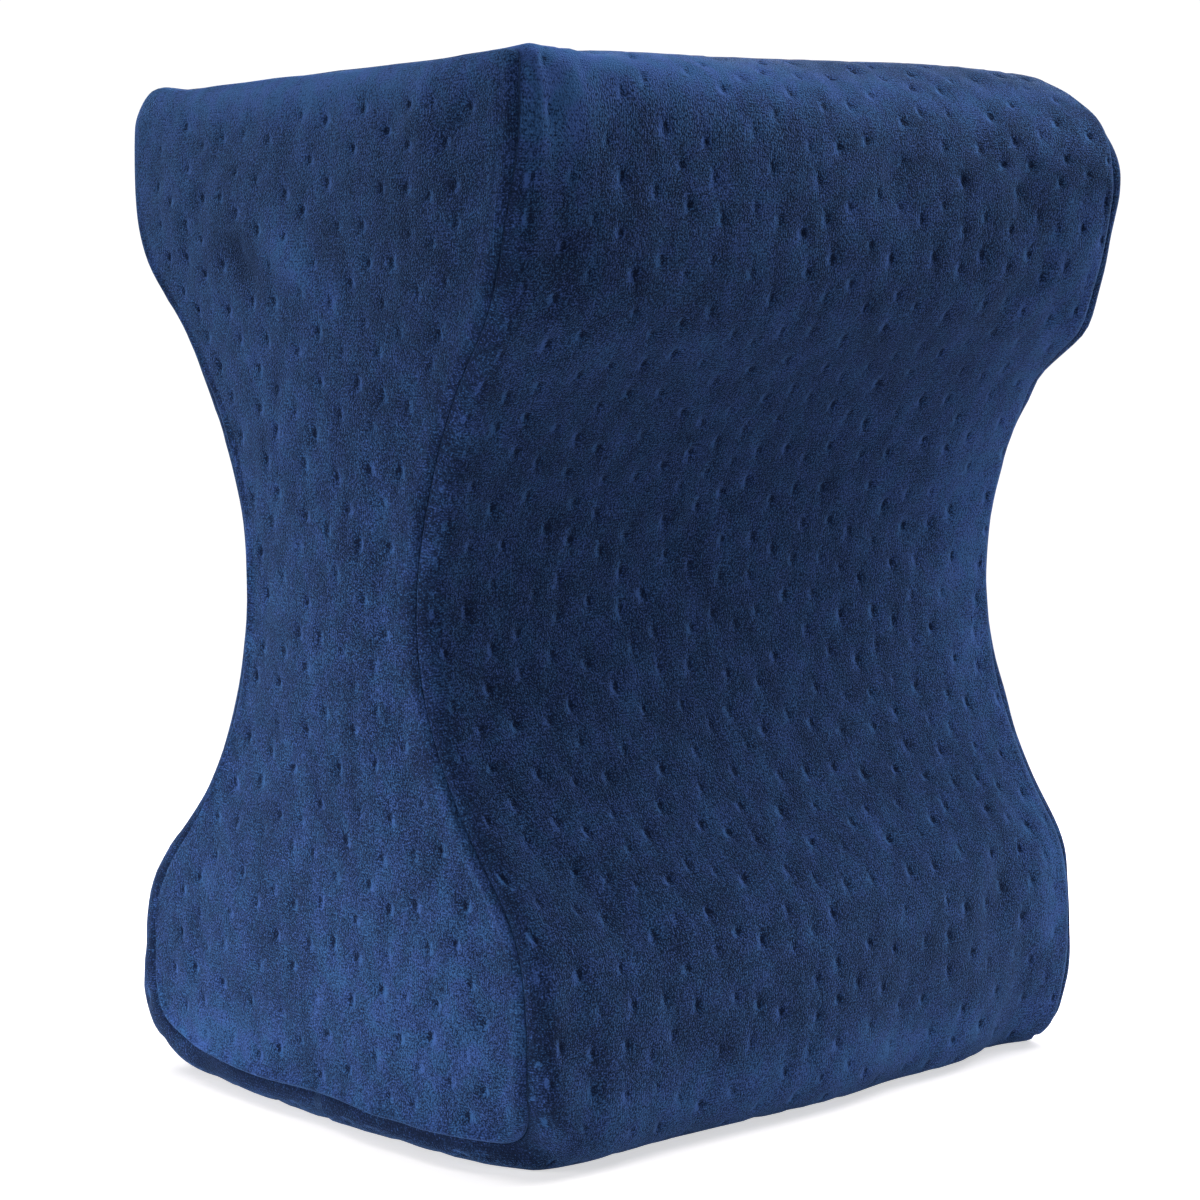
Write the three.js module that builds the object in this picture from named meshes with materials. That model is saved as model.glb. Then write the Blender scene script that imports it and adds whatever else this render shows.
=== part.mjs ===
// Knee pillow: a firm foam block shaped like an hourglass, in a sewn velour cover.
// It stands on one short end. Millimetres, +Z up, X across the leg faces, Y through the thickness.
// The origin is on the surface it stands on, under the middle of the pillow.
// Three pieces: the filled boxing band, which wraps the whole profile, and the two side panels.

import * as THREE from 'three';
import { mergeVertices } from 'three/addons/utils/BufferGeometryUtils.js';

// Driving dimensions
const height = 250;
const width = 194;
const halfThicknessBottom = 73.5;
const halfThicknessTop = 80.3;
const twistDegrees = -7.1;
const topTilt = { perX: 0.017, perY: -0.045 };

// The recess in each leg face: an arc from its break at the bottom, through the waist, to the top.
const waistHeight = 126;
const recesses = {
  front: { waistHalf: 41, reachDown: 70, reachUp: 65 },
  back: { waistHalf: 31.7, reachDown: 76, reachUp: 77 },
};
const recessSteepest = THREE.MathUtils.degToRad(50);
const breakSoftness = 6.9;

// Radius with which the band rolls over each end, at the left (-X) and the right (+X) panel.
const endRolls = {
  frontTop: { left: 4, right: 32 },
  backTop: { left: 11.5, right: 22 },
  frontBottom: { left: 13, right: 9 },
  backBottom: { left: 22, right: 14 },
};
const smallestRoll = 1;
const rollLostPerInset = 0.6;

// The cover at a panel's seam: the band rolls over, and the panel's rim is turned down to meet it.
const bandRoll = 6;
const bandRollEnd = THREE.MathUtils.degToRad(75);
const seamInset = bandRoll * (1 - Math.cos(bandRollEnd));
const coverLift = 1.6;
const panelThickness = 2.5;
const panelRimWidth = 3.2;
const panelRimHeight = 1.6;
const panelRimDrop = 0.4;
const pieceGap = 0.3;

// Fullness of the faces between their seams
const panelCrown = 2.6;
const legFaceCrown = 1.6;
const topCrown = 1.4;

// Mesh steps
const bandRollSteps = 3;
const bandWidthSteps = 8;
const thicknessSteps = 14;
const heightSteps = 34;
const panelRimSteps = 2;
const rimCrowding = 0.42;

// Hollows and swellings left by the filling and the sewing: where, how wide, and how far pushed.
const unevenness = [
  { name: 'near seam turned onto the panel', at: [-97, -80, 236], reach: 25, push: [2.6, -1.4, 0] },
  { name: 'near seam drawn back below it', at: [-97, -76, 200], reach: 21, push: [0, 2.6, 0] },
  { name: 'near seam pulled forward', at: [-97, -44, 153], reach: 26, push: [0, -2.4, 0] },
  { name: 'near top corner standing up', at: [-97, -80, 252], reach: 13, push: [0.6, 0, 1.6] },
  { name: 'left top corner standing up', at: [-97, 80, 250], reach: 10, push: [0, 1.2, 1.6] },
  { name: 'far top corner full', at: [97, -82, 226], reach: 16, push: [0, -1.8, 0.4] },
  { name: 'far top corner cut off', at: [97, -64, 249], reach: 13, push: [0, 0.8, -1.6] },
  { name: 'fold at the far break', at: [97, -67, 189], reach: 11, push: [0, -2.8, -1.6] },
  { name: 'tuck under that fold', at: [97, -52, 171], reach: 8, push: [0, 1.4, 0] },
  { name: 'far bottom corner full', at: [97, -74, 24], reach: 17, push: [0, -2, 0] },
  { name: 'far bottom corner drawn in', at: [97, -72, 3], reach: 12, push: [-2.4, 1.8, 0] },
  { name: 'near bottom corner turned under', at: [-97, -72, 2], reach: 14, push: [1.8, 1.6, 1.2] },
  { name: 'left bottom corner full', at: [-97, 76, 12], reach: 13, push: [0, 1.8, 0] },
  { name: 'slack on the front leg face', at: [30, -76, 226], reach: 42, push: [0, 0.9, 0] },
  { name: 'fullness low on the front leg face', at: [-20, -73, 34], reach: 38, push: [0, -0.8, 0] },
  { name: 'slack on the left panel', at: [-97, 18, 60], reach: 34, push: [0.9, 0, 0] },
];

const clamp = THREE.MathUtils.clamp;
const mix = THREE.MathUtils.lerp;
const ease = (t) => THREE.MathUtils.smoothstep(t, 0, 1);

// Half thickness of the pillow at a height, on one side, before the ends are rolled.
function halfThickness(z, recess) {
  const endHalf = mix(halfThicknessBottom, halfThicknessTop, z / height);
  const depth = (halfThicknessBottom + halfThicknessTop) / 2 - recess.waistHalf;
  const reach = z > waistHeight ? recess.reachUp : recess.reachDown;
  const radius = (reach * reach + depth * depth) / (2 * depth);
  const offset = Math.abs(z - waistHeight);
  const onArc = Math.min(offset, radius * Math.sin(recessSteepest));
  const arc = recess.waistHalf + radius - Math.sqrt(radius * radius - onArc * onArc);
  const wall = arc + (offset - onArc) * Math.tan(recessSteepest);
  return endHalf - breakSoftness * Math.log(1 + Math.exp((endHalf - wall) / breakSoftness));
}

function endRollRadius(across, up, x, inset) {
  const name = (across < 0 ? 'front' : 'back') + (up > 0 ? 'Top' : 'Bottom');
  const roll = endRolls[name];
  const radius = mix(roll.left, roll.right, ease(x / width + 0.5));
  return Math.max(radius - inset * rollLostPerInset, smallestRoll);
}

// A point of the hourglass section, from across and up (-1 to 1), drawn in all round by inset.
function sectionPoint(across, up, inset, x) {
  const halfY = mix(halfThicknessBottom, halfThicknessTop, (up + 1) / 2) - inset;
  const halfZ = height / 2 - inset;
  const lift = coverLift * Math.min(inset / seamInset, 1);
  const radius = endRollRadius(across, up, x, inset);
  const pastY = clamp((Math.abs(across) * halfY - halfY + radius) / radius, 0, 1);
  const pastZ = clamp((Math.abs(up) * halfZ - halfZ + radius) / radius, 0, 1);
  const inCorner = pastY > 0 && pastZ > 0;
  const roundY = inCorner ? pastY * Math.sqrt(1 - pastZ * pastZ / 2) : pastY;
  const roundZ = inCorner ? pastZ * Math.sqrt(1 - pastY * pastY / 2) : pastZ;
  const flatY = pastY > 0 ? halfY - radius + roundY * radius : Math.abs(across) * halfY;
  const flatZ = pastZ > 0 ? halfZ - radius + roundZ * radius : Math.abs(up) * halfZ;
  const z = height / 2 + Math.sign(up) * flatZ;
  const recess = across < 0 ? recesses.front : recesses.back;
  const endHalf = mix(halfThicknessBottom, halfThicknessTop, z / height);
  const drawnIn = (halfThickness(z, recess) - inset) / (endHalf - inset);
  return { y: Math.sign(across) * flatY * drawnIn, z: z + lift };
}

// Fullness between seams, 0 on the seam and 1 in the middle of a face.
const fullness = (t) => 1 - t * t;

// -1 or 1 on the two outermost steps of a grid, and 0 between them.
const atEnd = (t) => (Math.abs(t) > 1 - 1e-6 ? Math.sign(t) : 0);

// How far the outside of a panel stands beyond its seam.
function panelLevel(across, up) {
  const crown = panelCrown * fullness(across) * fullness(up * up);
  return width / 2 - panelRimDrop + panelRimHeight + crown;
}

// The pillow stands a little twisted, with its top end out of level, and its faces are not even.
function standing(x, y, z) {
  const sewn = new THREE.Vector3(x, y, z);
  const point = sewn.clone();
  const offFloor = ease(z / bandRoll);
  for (const place of unevenness) {
    const away = sewn.distanceTo(new THREE.Vector3(...place.at)) / place.reach;
    point.addScaledVector(new THREE.Vector3(...place.push), Math.exp(-away * away) * offFloor);
  }
  const upperShare = clamp(z / height - 0.5, 0, 0.5) * 2;
  point.z += upperShare * (topTilt.perX * x + topTilt.perY * y);
  const turn = THREE.MathUtils.degToRad(twistDegrees) * (z / height - 0.5);
  return point.applyAxisAngle(new THREE.Vector3(0, 0, 1), turn);
}

// Steps from -1 to 1, closer together near both ends.
function crowdedSteps(count) {
  return Array.from({ length: count + 1 }, (_, i) => {
    const t = (2 * i) / count - 1;
    return mix(t, Math.sin(t * Math.PI / 2), rimCrowding);
  });
}

// A closed body on a box grid: stations in X, and a grid of across and up on every station.
function gridBody(stations, place) {
  const across = crowdedSteps(thicknessSteps);
  const up = crowdedSteps(heightSteps);
  const last = stations.length - 1;
  const geometry = new THREE.BoxGeometry(2, 2, 2, last, thicknessSteps, heightSteps);
  const corner = geometry.getAttribute('position');
  const index = (value, count) => Math.round((value + 1) / 2 * count);
  for (let i = 0; i < corner.count; i++) {
    const station = stations[index(corner.getX(i), last)];
    const a = across[index(corner.getY(i), thicknessSteps)];
    const u = up[index(corner.getZ(i), heightSteps)];
    const point = place(station, a, u);
    corner.setXYZ(i, point.x, point.y, point.z);
  }
  geometry.deleteAttribute('normal');
  geometry.deleteAttribute('uv');
  const merged = mergeVertices(geometry, 1e-3);
  merged.computeVertexNormals();
  return merged;
}

// One side's stations of the band, from the recess under the panel, over the lip, to the leg face.
function bandRollStations(side) {
  const stations = [{ side, inset: seamInset, underPanel: true }];
  for (let i = bandRollSteps; i > 0; i--) {
    const turn = bandRollEnd * i / bandRollSteps;
    const x = side * (width / 2 - bandRoll + bandRoll * Math.sin(turn));
    stations.push({ x, inset: bandRoll * (1 - Math.cos(turn)) });
  }
  return stations;
}

function filledBand() {
  const flatHalf = width / 2 - bandRoll;
  const flat = Array.from({ length: bandWidthSteps + 1 }, (_, i) => (
    { x: mix(-flatHalf, flatHalf, i / bandWidthSteps), inset: 0 }
  ));
  const stations = [...bandRollStations(-1), ...flat, ...bandRollStations(1).reverse()];
  return gridBody(stations, (station, across, up) => {
    const floor = panelLevel(across, up) - panelThickness - pieceGap;
    const x = station.underPanel ? station.side * floor : station.x;
    const { y, z } = sectionPoint(across, up, station.inset, x);
    const full = fullness(clamp(x / (width / 2), -1, 1));
    const offLegFace = atEnd(across) * legFaceCrown * fullness(up) * full;
    const offTop = Math.max(atEnd(up), 0) * topCrown * fullness(across) * full;
    return standing(x, y + offLegFace, z + offTop);
  });
}

function sidePanel(side) {
  const edgeInset = seamInset + pieceGap;
  const seamX = width / 2 - panelRimDrop;
  const stations = [{ inset: edgeInset, inside: true }];
  for (let i = 0; i < panelRimSteps; i++) {
    const turn = (Math.PI / 2) * i / panelRimSteps;
    const inset = edgeInset + panelRimWidth * (1 - Math.cos(turn));
    stations.push({ x: seamX + panelRimHeight * Math.sin(turn), inset });
  }
  stations.push({ inset: edgeInset + panelRimWidth, outside: true });
  if (side < 0) stations.reverse();
  return gridBody(stations, (station, across, up) => {
    const level = panelLevel(across, up);
    const x = station.outside ? level : station.inside ? level - panelThickness : station.x;
    const { y, z } = sectionPoint(across, up, station.inset, side * x);
    return standing(side * x, y, z);
  });
}

const velourFront = new THREE.MeshStandardMaterial({ color: 0x2a4373, roughness: 0.95, metalness: 0 });
const velourSide = new THREE.MeshStandardMaterial({ color: 0x35507c, roughness: 0.95, metalness: 0 });

function piece(name, geometry, material) {
  const mesh = new THREE.Mesh(geometry, material);
  mesh.name = name;
  return mesh;
}

const pillow = new THREE.Group();
pillow.add(piece('filled_boxing_band', filledBand(), velourFront));
pillow.add(piece('side_panel_left', sidePanel(-1), velourSide));
pillow.add(piece('side_panel_right', sidePanel(1), velourSide));

// The middle of the uneven pillow goes over the origin.
const middle = new THREE.Box3().setFromObject(pillow).getCenter(new THREE.Vector3());
pillow.position.set(-middle.x, -middle.y, 0);

const group = new THREE.Group();
group.add(pillow);

export default group;
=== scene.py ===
import math
import random

import bpy
import numpy as np
from mathutils import Matrix, Vector
from mathutils.kdtree import KDTree


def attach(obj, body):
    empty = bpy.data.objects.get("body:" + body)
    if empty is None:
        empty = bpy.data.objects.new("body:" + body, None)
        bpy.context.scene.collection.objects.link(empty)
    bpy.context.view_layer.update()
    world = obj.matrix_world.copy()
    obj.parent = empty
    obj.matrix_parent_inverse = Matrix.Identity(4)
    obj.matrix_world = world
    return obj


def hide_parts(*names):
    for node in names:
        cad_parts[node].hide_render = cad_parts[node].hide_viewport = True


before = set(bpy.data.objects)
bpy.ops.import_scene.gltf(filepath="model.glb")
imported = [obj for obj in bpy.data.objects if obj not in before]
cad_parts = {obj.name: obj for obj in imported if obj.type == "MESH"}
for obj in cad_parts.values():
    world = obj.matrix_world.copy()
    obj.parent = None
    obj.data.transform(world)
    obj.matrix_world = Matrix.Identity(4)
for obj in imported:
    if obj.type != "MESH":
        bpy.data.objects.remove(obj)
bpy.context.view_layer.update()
mm = 0.001
tiny = 1e-6
hair = 0.01              # next to no length, in millimetres
print("pillow: frame loaded")

# The camera comes first. It looks from between the near leg face (-Y) and the left panel (-X).
view = {
    "aroundDegrees": -41.92,
    "upDegrees": 6.77,
    "rollDegrees": 0.77,
    "distance": 0.82966,
    "target": (-0.00715, -0.00018, 0.11916),
    "lens": 97.95,
    "sensor": 36.0,
}


def makeCamera():
    around, up = math.radians(view["aroundDegrees"]), math.radians(view["upDegrees"])
    back = Vector((math.sin(around) * math.cos(up), -math.cos(around) * math.cos(up), math.sin(up)))
    right = (-back).cross(Vector((0, 0, 1))).normalized()
    above = right.cross(-back)
    roll = math.radians(view["rollDegrees"])
    rolledRight = right * math.cos(roll) + above * math.sin(roll)
    rolledUp = above * math.cos(roll) - right * math.sin(roll)
    data = bpy.data.cameras.new("camera")
    data.lens, data.sensor_width = view["lens"], view["sensor"]
    camera = bpy.data.objects.new("camera", data)
    place = Matrix((rolledRight, rolledUp, back)).transposed().to_4x4()
    place.translation = Vector(view["target"]) + back * view["distance"]
    camera.matrix_world = place
    bpy.context.scene.collection.objects.link(camera)
    bpy.context.scene.camera = camera


makeCamera()
print("pillow: camera set")

# The block: thickness is along Y, and the leg faces are drawn in to a waist.
block = {
    "height": 250.0,
    "width": 194.0,              # from seam to seam
    "halfThickness": (73.5, 80.3),   # at the bottom and the top end
    "waistHeight": 126.0,
    "front": {"waistHalf": 41.0, "reachDown": 70.0, "reachUp": 65.0},
    "back": {"waistHalf": 31.7, "reachDown": 76.0, "reachUp": 77.0},
    "steepestDegrees": 50.0,
    "breakSoftness": 6.9,
    "twistDegrees": -7.1,
    "topTilt": (0.017, -0.045),      # rise of the top end per mm of X and of Y
    "middle": (0.22, 0.18),          # of the uneven pillow's box, which goes over the origin
    "gripHeight": 6.0,               # nothing is pushed up or down where the cover meets the floor
}

# Radius with which the cover rolls over each end, at the left and the right panel.
endRolls = {
    "frontTop": (4.0, 32.0),
    "backTop": (9.0, 22.0),
    "frontBottom": (13.0, 9.0),
    "backBottom": (20.0, 14.0),
    "smallest": 1.0,
    "lostPerInset": 0.6,
}

# Where the filling and the sewing push the cover out of true: place, reach, push.
pushes = [
    ((-97, -80, 236), 25, (2.6, -1.4, 0)),    # near seam turned onto the panel
    ((-97, -76, 200), 21, (0, 2.6, 0)),       # and drawn back below that
    ((-97, -44, 153), 26, (0, -2.4, 0)),      # near seam pulled forward at the waist
    ((-97, -80, 252), 13, (0.6, 0, 1.6)),     # near top corner standing up
    ((-97, 69, 252), 8, (0, 0, 2.2)),         # left top corner standing up
    ((-97, 80, 250), 7, (0, -2.6, -1.6)),     # and cut off beside that
    ((-97, 45, 175), 20, (0, 1.5, 0)),        # full behind the left panel's upper half
    ((-97, 32, 128), 18, (0, -0.8, 0)),       # drawn in behind its waist
    ((97, -82, 226), 16, (0, -1.0, 0.4)),     # far top corner full
    ((97, -64, 249), 13, (0, 0.8, -1.6)),     # and cut off above
    ((97, -77, 192), 12, (-1.2, 1.3, 0)),     # drawn in under the far top roll
    ((97, -67, 189), 10, (0, -2.6, -1.4)),    # fold at the far break
    ((97, -55, 174), 6, (0, 1.8, 0)),         # tuck under that fold
    ((97, -40, 105), 30, (1.3, 0, 0)),        # far seam out of line below the waist
    ((97, -74, 24), 17, (0, -2, 0)),          # far bottom corner full
    ((97, -72, 2), 13, (-2.2, -0.7, 0)),      # and drawn in at the floor
    ((78, -73, 2), 14, (0, 5.0, 0)),          # foot drawn back beside that
    ((-99, -76, 2), 12, (6.8, 5.6, 0.8)),     # near bottom corner turned under
    ((-76, -74, 4), 15, (0, -1.0, -1.0)),     # and bulging beside that
    ((-97, -64, 2), 9, (4.0, 0, 0.4)),        # and drawn in beside it on the panel
    ((12, -73, 3), 40, (0, -2.8, 0)),         # foot of the near leg face bowed out
    ((30, -75, 2), 15, (0, 2.4, 0)),          # and hollow beyond its middle
    ((97, -62, 62), 17, (-0.9, 0, 0)),        # far seam drawn in above the foot
    ((-13, -70, 250), 50, (0, 0, -0.7)),      # top roll a little hollow between its corners
    ((-97, -30, 3), 32, (-3.2, 0, 0)),        # foot of the left panel bowed out
    ((-97, 8, 4), 30, (-1.4, 0, -0.5)),
    ((-97, 62, 4), 18, (1.2, 0, 0.9)),        # and drawn in at its far end
    ((-97, 76, 16), 12, (0, 2.7, 0)),         # left bottom corner full
    ((-97, 65, 8), 8, (0, 2.4, 0)),
    ((-97, 51, 1), 8, (2.0, 0, 0)),           # and drawn in beside that
    ((30, -76, 226), 42, (0, 0.9, 0)),        # slack on the front leg face
    ((-20, -73, 34), 38, (0, -0.8, 0)),       # fullness low on it
    ((-97, 18, 60), 34, (0.9, 0, 0)),         # slack on the left panel
]

halfHeight = block["height"] / 2
bottomHalf, topHalf = block["halfThickness"]


def ease(t):
    t = np.clip(t, 0, 1)
    return t * t * (3 - 2 * t)


def fullness(t):
    return 1 - t * t


# How far out a leg face lies: an arc at the waist, steep slopes, and a soft break to the full thickness.
def halfThickness(z, side):
    recess = block[side]
    depth = (bottomHalf + topHalf) / 2 - recess["waistHalf"]
    reach = np.where(z > block["waistHeight"], recess["reachUp"], recess["reachDown"])
    radius = (reach ** 2 + depth ** 2) / (2 * depth)
    steepest = math.radians(block["steepestDegrees"])
    offset = np.abs(z - block["waistHeight"])
    onArc = np.minimum(offset, radius * math.sin(steepest))
    arc = recess["waistHalf"] + radius - np.sqrt(radius ** 2 - onArc ** 2)
    wall = arc + (offset - onArc) * math.tan(steepest)
    endHalf = bottomHalf + (topHalf - bottomHalf) * z / block["height"]
    soft = block["breakSoftness"]
    return endHalf - soft * np.log1p(np.exp((endHalf - wall) / soft))


# The roll's radius at a point, from that at the left panel to that at the right one.
def endRoll(across, up, x, inset):
    def atSide(k):
        front = np.where(up > 0, endRolls["frontTop"][k], endRolls["frontBottom"][k])
        back = np.where(up > 0, endRolls["backTop"][k], endRolls["backBottom"][k])
        return np.where(across < 0, front, back)

    share = ease(x / block["width"] + 0.5)
    radius = atSide(0) * (1 - share) + atSide(1) * share
    return np.maximum(radius - inset * endRolls["lostPerInset"], endRolls["smallest"])


# A point of the hourglass section: across and up run from -1 to 1, and inset draws it in all round.
def sectionPoint(across, up, inset, x):
    halfY = bottomHalf + (topHalf - bottomHalf) * (up + 1) / 2 - inset
    halfZ = halfHeight - inset
    radius = endRoll(across, up, x, inset)
    pastY = np.clip((np.abs(across) * halfY - halfY + radius) / radius, 0, 1)
    pastZ = np.clip((np.abs(up) * halfZ - halfZ + radius) / radius, 0, 1)
    inCorner = (pastY > 0) & (pastZ > 0)
    roundY = np.where(inCorner, pastY * np.sqrt(1 - pastZ ** 2 / 2), pastY)
    roundZ = np.where(inCorner, pastZ * np.sqrt(1 - pastY ** 2 / 2), pastZ)
    flatY = np.where(pastY > 0, halfY - radius + roundY * radius, np.abs(across) * halfY)
    flatZ = np.where(pastZ > 0, halfZ - radius + roundZ * radius, np.abs(up) * halfZ)
    z = halfHeight + np.sign(up) * flatZ
    endHalf = bottomHalf + (topHalf - bottomHalf) * z / block["height"]
    wall = np.where(across < 0, halfThickness(z, "front"), halfThickness(z, "back"))
    drawnIn = (wall - inset) / (endHalf - inset)
    lift = edge["coverLift"] * np.clip(inset / edge["coverLiftInset"], 0, 1)
    return np.sign(across) * flatY * drawnIn, z + lift


# The pillow as it stands: pushed about, a little twisted, its top end out of level, over the origin.
def standing(points):
    placed = points.copy()
    offFloor = ease(points[:, 2] / block["gripHeight"])
    for at, reach, push in pushes:
        away = np.linalg.norm(points - np.array(at, float), axis=1) / reach
        moved = np.outer(np.exp(-away ** 2), push)
        moved[:, 2] *= offFloor
        placed += moved
    upperShare = np.clip(points[:, 2] / block["height"] - 0.5, 0, 0.5) * 2
    placed[:, 2] += upperShare * (points[:, :2] @ np.array(block["topTilt"]))
    turn = math.radians(block["twistDegrees"]) * (points[:, 2] / block["height"] - 0.5)
    x, y = placed[:, 0].copy(), placed[:, 1].copy()
    placed[:, 0] = x * np.cos(turn) - y * np.sin(turn) - block["middle"][0]
    placed[:, 1] = x * np.sin(turn) + y * np.cos(turn) - block["middle"][1]
    placed[:, 2] = np.maximum(placed[:, 2], 0)
    return placed


# The edge between the band and a panel, in a cut across it, is a quarter of an ellipse. The seam crosses it,
# and both cloths crease down into the seam over a ridge that the seam's hidden turnings make.
edge = {
    "bandHalf": 91.0,            # the band is flat this far out from the middle
    "panelLevel": 98.2,          # the panel's face lies this far out
    "inset": 9.0,                # and begins this far in from the band's face
    "creaseReach": 0.8,
    "creaseDepths": (0.16, 1.3),     # of a shut seam and of a gaping one
    "bandRidge": (3.4, 2.0, 0.10, 0.1),      # how far from the seam, reach, height, and more where it gapes
    "panelRidge": (1.9, 1.5, 0.24, 1.0),
    "sunk": (5.0, 0.9),              # where the seam gapes the band lies lower: reach, depth
    "ridgeUneven": (0.3, 11.0),      # share of a ridge's height, and its pitch
    "puckersFrom": 1.5,          # the puckers come in over this far from the seam
    "seamGap": 0.14,
    "tucks": (0.5, 1.3),         # the turnings are followed this deep into the seam
    "coverLift": 1.6,            # how far the drawn-in cover hangs off the floor
    "coverLiftInset": 4.45,
}
crowns = {"panel": 1.5, "legFace": 0.6, "top": 0.6}      # before the filling swells them

arcTurn = np.radians(np.linspace(0, 90, 181))
arcOut = edge["panelLevel"] - edge["bandHalf"]
arcRun = np.concatenate([[0], np.cumsum(np.hypot(
    np.diff(arcOut * np.sin(arcTurn)), np.diff(edge["inset"] * np.cos(arcTurn))))])


# A place on that edge, by the way run from where the band's flat ends, and pushed outward: its x and inset.
def onEdge(run, outward):
    turn = np.interp(run, arcRun, arcTurn)
    x = edge["bandHalf"] + arcOut * np.sin(turn) + np.minimum(run, 0)
    inset = edge["inset"] * (1 - np.cos(turn))
    faceX, faceInset = edge["inset"] * np.sin(turn), -arcOut * np.cos(turn)
    size = np.hypot(faceX, faceInset)
    return x + outward * faceX / size, inset + outward * faceInset / size


# The way round the block in the middle of its width, from the middle of its bottom, in cloth millimetres.
# It passes corner 1 at the near bottom, 2 at the near top, 3 at the back top and 4 at the back bottom.
stretchSteps = 400


def roundTheBlock():
    steps = np.linspace(0, 1, stretchSteps + 1)[:-1]
    ones = np.ones_like(steps)
    across = np.concatenate([-steps, -ones, 2 * steps - 1, ones, 1 - steps, [0]])
    up = np.concatenate([-ones, 2 * steps - 1, ones, 1 - 2 * steps, -ones, [-1]])
    y, z = sectionPoint(across, up, np.zeros_like(across), np.zeros_like(across))
    length = np.concatenate([[0], np.cumsum(np.hypot(np.diff(y), np.diff(z)))])
    return length, across, up


roundLength, roundAcross, roundUp = roundTheBlock()
girth = roundLength[-1]


# How far round a corner number is, such as 1.5 for half way up the near leg face.
def wayRound(corner):
    return np.interp(np.asarray(corner, float) * stretchSteps, np.arange(len(roundLength)), roundLength)


# Random ups and downs round the block, about 1 high, with a knot every pitch.
def uneven(along, pitch, seed):
    count = round(girth / pitch)
    dice = random.Random(seed)
    knots = np.array([dice.gauss(0, 1) for _ in range(count)])
    place = (along % girth) / girth * count
    k = np.floor(place).astype(int)
    share = ease(place - k)
    return knots[k % count] * (1 - share) + knots[(k + 1) % count] * share


# How each seam lies: corner number, degrees round the edge from the band, and how far it gapes, 0 to 1.
seamLies = {
    -1: [(0.0, 68, 0.85), (0.75, 66, 0.9), (1.0, 62, 0.5), (1.12, 58, 0.26), (1.5, 57, 0.1), (1.85, 57, 0.12),
         (1.97, 50, 0.4), (2.08, 26, 0.2), (2.5, 12, 0.0), (2.92, 18, 0.05), (3.03, 45, 0.1),
         (3.2, 64, 0.15), (3.6, 62, 0.3), (3.72, 76, 0.4), (3.82, 85, 0.5), (3.95, 84, 0.5), (4.02, 74, 0.6),
         (4.3, 70, 0.8), (5.0, 68, 0.85)],
    1: [(0.0, 62, 0.5), (0.9, 56, 0.5), (1.0, 34, 0.5), (1.06, 30, 0.5), (1.2, 31, 0.35), (1.32, 33, 0.3),
        (1.45, 46, 0.2), (1.6, 44, 0.25), (1.68, 35, 0.4), (1.78, 36, 0.5), (1.9, 38, 0.45), (1.98, 46, 0.3),
        (2.1, 54, 0.3), (2.5, 58, 0.25), (3.0, 58, 0.3), (3.5, 57, 0.2), (4.0, 60, 0.5), (5.0, 62, 0.5)],
}
seamWander = {
    "degrees": (2.5, 31.0),      # how much it wanders, and its pitch
    "leastDegrees": 4.0,
    "gape": (0.12, 19.0),
    "seeds": {-1: (2, 12), 1: (4, 14)},      # of the degrees and of the gape
}


def seamAt(side, along):
    corner, degrees, gape = (np.array(column, float) for column in zip(*seamLies[side]))
    way = along % girth
    knots = wayRound(corner)
    k = np.clip(np.searchsorted(knots, way, side="right") - 1, 0, len(knots) - 2)
    share = ease((way - knots[k]) / (knots[k + 1] - knots[k]))

    def wandering(values, key, seed):
        most, pitch = seamWander[key]
        return values[k] * (1 - share) + values[k + 1] * share + most * uneven(along, pitch, seed)

    degreesSeed, gapeSeed = seamWander["seeds"][side]
    turned = np.maximum(wandering(degrees, "degrees", degreesSeed), seamWander["leastDegrees"])
    run = np.interp(np.radians(turned), arcTurn, arcRun)
    return run, np.clip(wandering(gape, "gape", gapeSeed), 0, 1)


# Puckers where the cover is gathered by the stitches: pitch along the seam, reach from it, height.
puckers = [(6.0, 3.0, 0.03), (11.0, 6.0, 0.10), (25.0, 15.0, 0.30)]


def puckerAt(along, fromSeam, seed):
    return sum(height * uneven(along, pitch, seed + k) * np.exp(-(fromSeam / reach) ** 2)
               for k, (pitch, reach, height) in enumerate(puckers))


# The relief beside a seam: down the crease and over the ridge, by the distance from the seam.
def seamRelief(along, fromSeam, gape, ridge, seed):
    shut, wide = edge["creaseDepths"]
    crease = (shut + (wide - shut) * gape) * np.exp(-fromSeam / edge["creaseReach"])
    at, reach, height, gaping = ridge
    share, pitch = edge["ridgeUneven"]
    height = (height + gaping * gape) * (1 + share * uneven(along, pitch, seed))
    return height * np.exp(-((fromSeam - at) / reach) ** 2) - crease


creaseEnds = 0.3                 # the share of its rise that a crease keeps at its ends


# Soft troughs and ridges, each along a given line on the cloth: start, end, reach, rise.
def creased(cloth, rows):
    total = np.zeros(len(cloth))
    for start, end, reach, rise in rows:
        start, way = np.array(start, float), np.array(end, float) - np.array(start, float)
        share = np.clip((cloth - start) @ way / (way @ way), 0, 1)
        away = np.linalg.norm(cloth - start - np.outer(share, way), axis=1)
        swell = creaseEnds + (1 - creaseEnds) * np.sin(math.pi * share)
        total += rise * swell * np.exp(-(away / reach) ** 2)
    return total


# How far across and along a leaning mark on the cloth is, from its middle.
def leaning(cloth, middle, leanDegrees):
    lean = math.radians(leanDegrees)
    apart = cloth - np.array(middle, float)
    across = apart[:, 0] * math.cos(lean) + apart[:, 1] * math.sin(lean)
    return across, apart[:, 1] * math.cos(lean) - apart[:, 0] * math.sin(lean)


# Painted light and shade, in lighter and darker patches on the cloth: middle, half width and length, lean in
# degrees, tone.
def paintLightAndShade(cloth, rows):
    total = np.zeros(len(cloth))
    for middle, (wide, long), leanDegrees, tone in rows:
        across, along = leaning(cloth, middle, leanDegrees)
        total += tone * np.exp(-(across / wide) ** 2 - (along / long) ** 2)
    return total


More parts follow.
